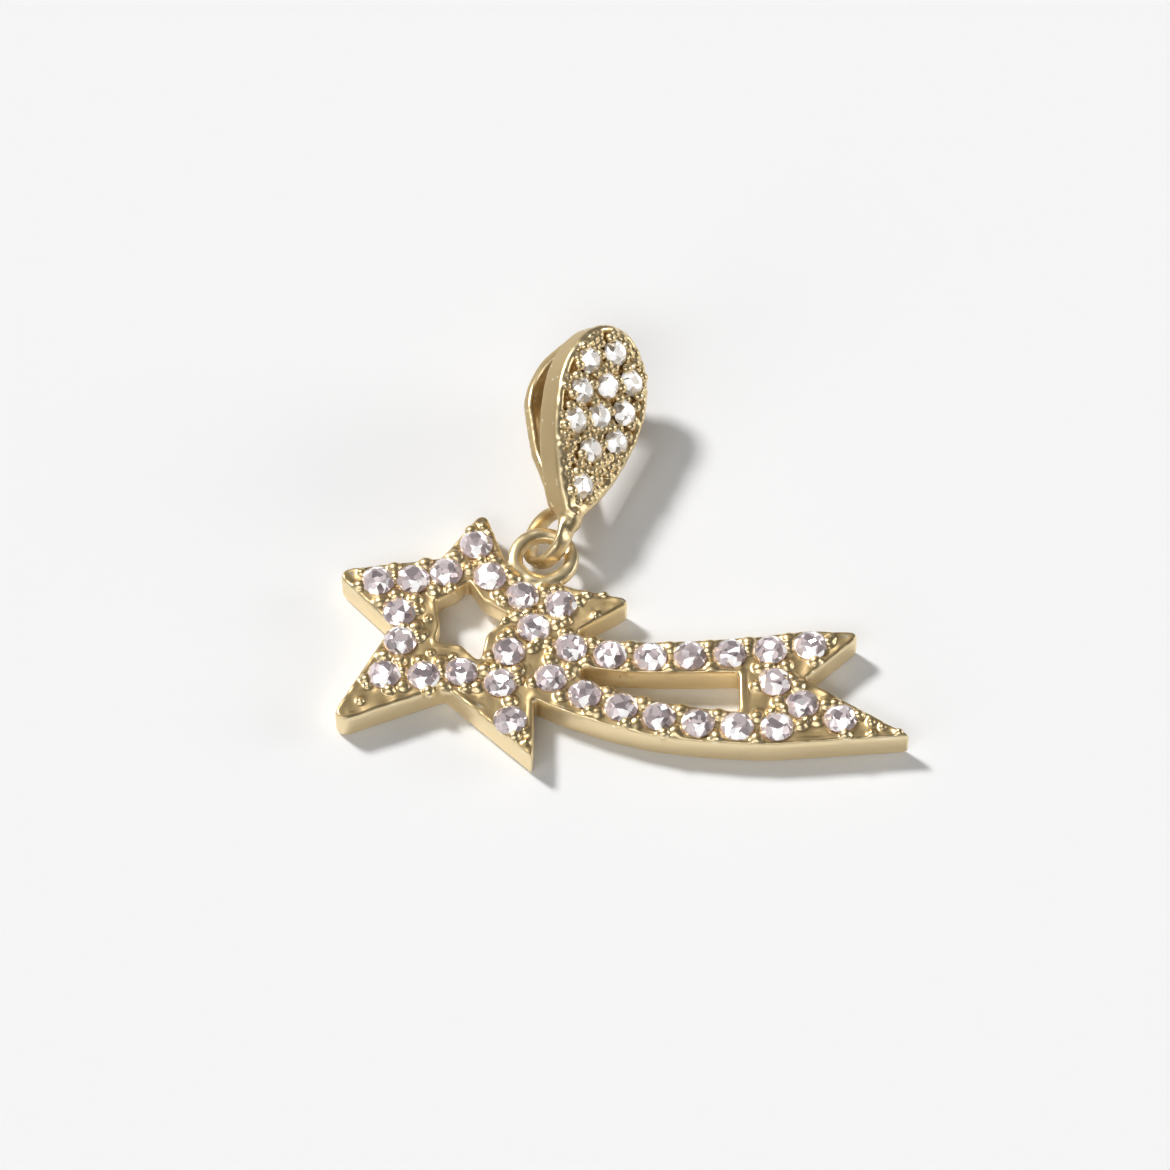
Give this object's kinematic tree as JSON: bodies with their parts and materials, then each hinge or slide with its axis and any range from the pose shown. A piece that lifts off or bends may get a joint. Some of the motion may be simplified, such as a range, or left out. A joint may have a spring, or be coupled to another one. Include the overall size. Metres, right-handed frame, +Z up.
{
  "type": "pendant",
  "caption": "Shooting-star pendant: a stone-set openwork star with a two-band swallow-tailed tail, hung by a soldered ring from a stone-set drop-shaped bail.",
  "frame": {"origin": "centre of the bounding box at the height of the surface the pendant lies on", "axes": "+X along the tail away from the star, +Y from the star towards the bail, +Z up out of the face"},
  "size_m": [0.0274, 0.0232, 0.0059],
  "materials": {
    "gold": "polished pale gold plating",
    "clear_stone": "cut and polished colourless stone"
  },
  "bodies": {
    "root": {"arm_stone_01": "clear_stone", "arm_stone_02": "clear_stone", "arm_stone_03": "clear_stone", "arm_stone_04": "clear_stone", "arm_stone_05": "clear_stone", "bail": "gold", "bail_stone_01": "clear_stone", "bail_stone_02": "clear_stone", "bail_stone_03": "clear_stone", "bail_stone_04": "clear_stone", "bail_stone_05": "clear_stone", "bail_stone_06": "clear_stone", "bail_stone_07": "clear_stone", "bail_stone_08": "clear_stone", "bail_stone_09": "clear_stone", "bail_stone_10": "clear_stone", "bail_stone_11": "clear_stone", "fork_stone_01": "clear_stone", "fork_stone_02": "clear_stone", "fork_stone_03": "clear_stone", "lower_stone_01": "clear_stone", "lower_stone_02": "clear_stone", "lower_stone_03": "clear_stone", "lower_stone_04": "clear_stone", "lower_stone_05": "clear_stone", "lower_stone_06": "clear_stone", "lower_stone_07": "clear_stone", "ring_stone_01": "clear_stone", "ring_stone_02": "clear_stone", "ring_stone_03": "clear_stone", "ring_stone_04": "clear_stone", "ring_stone_05": "clear_stone", "ring_stone_06": "clear_stone", "ring_stone_07": "clear_stone", "ring_stone_08": "clear_stone", "ring_stone_09": "clear_stone", "ring_stone_10": "clear_stone", "ring_stone_11": "clear_stone", "star_and_tail": "gold", "upper_stone_01": "clear_stone", "upper_stone_02": "clear_stone", "upper_stone_03": "clear_stone", "upper_stone_04": "clear_stone", "upper_stone_05": "clear_stone", "upper_stone_06": "clear_stone", "upper_stone_07": "clear_stone"}
  },
  "joints": []
}
